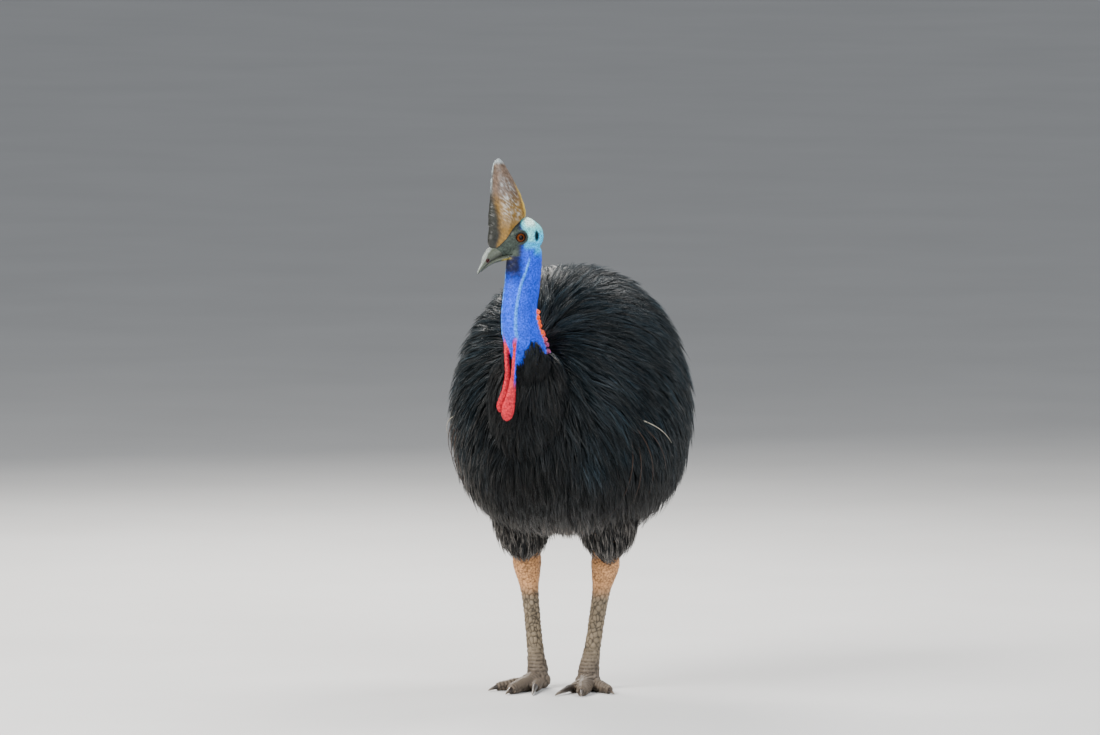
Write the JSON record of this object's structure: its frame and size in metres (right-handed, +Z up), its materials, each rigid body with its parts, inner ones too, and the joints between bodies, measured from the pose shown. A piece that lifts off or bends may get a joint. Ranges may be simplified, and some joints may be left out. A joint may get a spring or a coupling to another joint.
{
  "type": "cassowary figure",
  "caption": "Standing life-size cassowary figure with a tall casque, bare folded neck, hanging wattles, shaggy plumage and three-toed feet.",
  "frame": {"origin": "on the floor, under the middle of the bird's bounding box", "axes": "+X to the bird's left, +Y to its rear, +Z up"},
  "size_m": [0.5982, 0.9504, 1.389],
  "materials": {
    "plumage": "hair-like blue-black feathers with a soft sheen",
    "quill": "smooth horny shafts",
    "blue_skin": "fine-grained wrinkled bare skin, turquoise on the head",
    "wattle_skin": "soft grained red skin",
    "casque_horn": "dull streaked horn",
    "bill_horn": "satin grey-olive horn",
    "eye": "wet brown iris with a black pupil",
    "leg_skin": "scaled and scuffed, ochre at the hocks",
    "claw_horn": "worn dark horn"
  },
  "bodies": {
    "root": {"head": "blue_skin", "casque": "casque_horn", "upper_bill": "bill_horn", "lower_bill": "bill_horn", "eye_left": "eye", "eye_right": "eye", "neck": "blue_skin", "wattle_left": "wattle_skin", "wattle_right": "wattle_skin", "neck_ruff": "plumage", "torso": "plumage", "wing_left": "quill", "wing_right": "quill", "thigh_left": "plumage", "thigh_right": "plumage", "shank_left": "leg_skin", "shank_right": "leg_skin", "foot_left": "leg_skin", "foot_right": "leg_skin", "claw_inner_left": "claw_horn", "claw_middle_left": "claw_horn", "claw_outer_left": "claw_horn", "claw_inner_right": "claw_horn", "claw_middle_right": "claw_horn", "claw_outer_right": "claw_horn"}
  },
  "joints": []
}
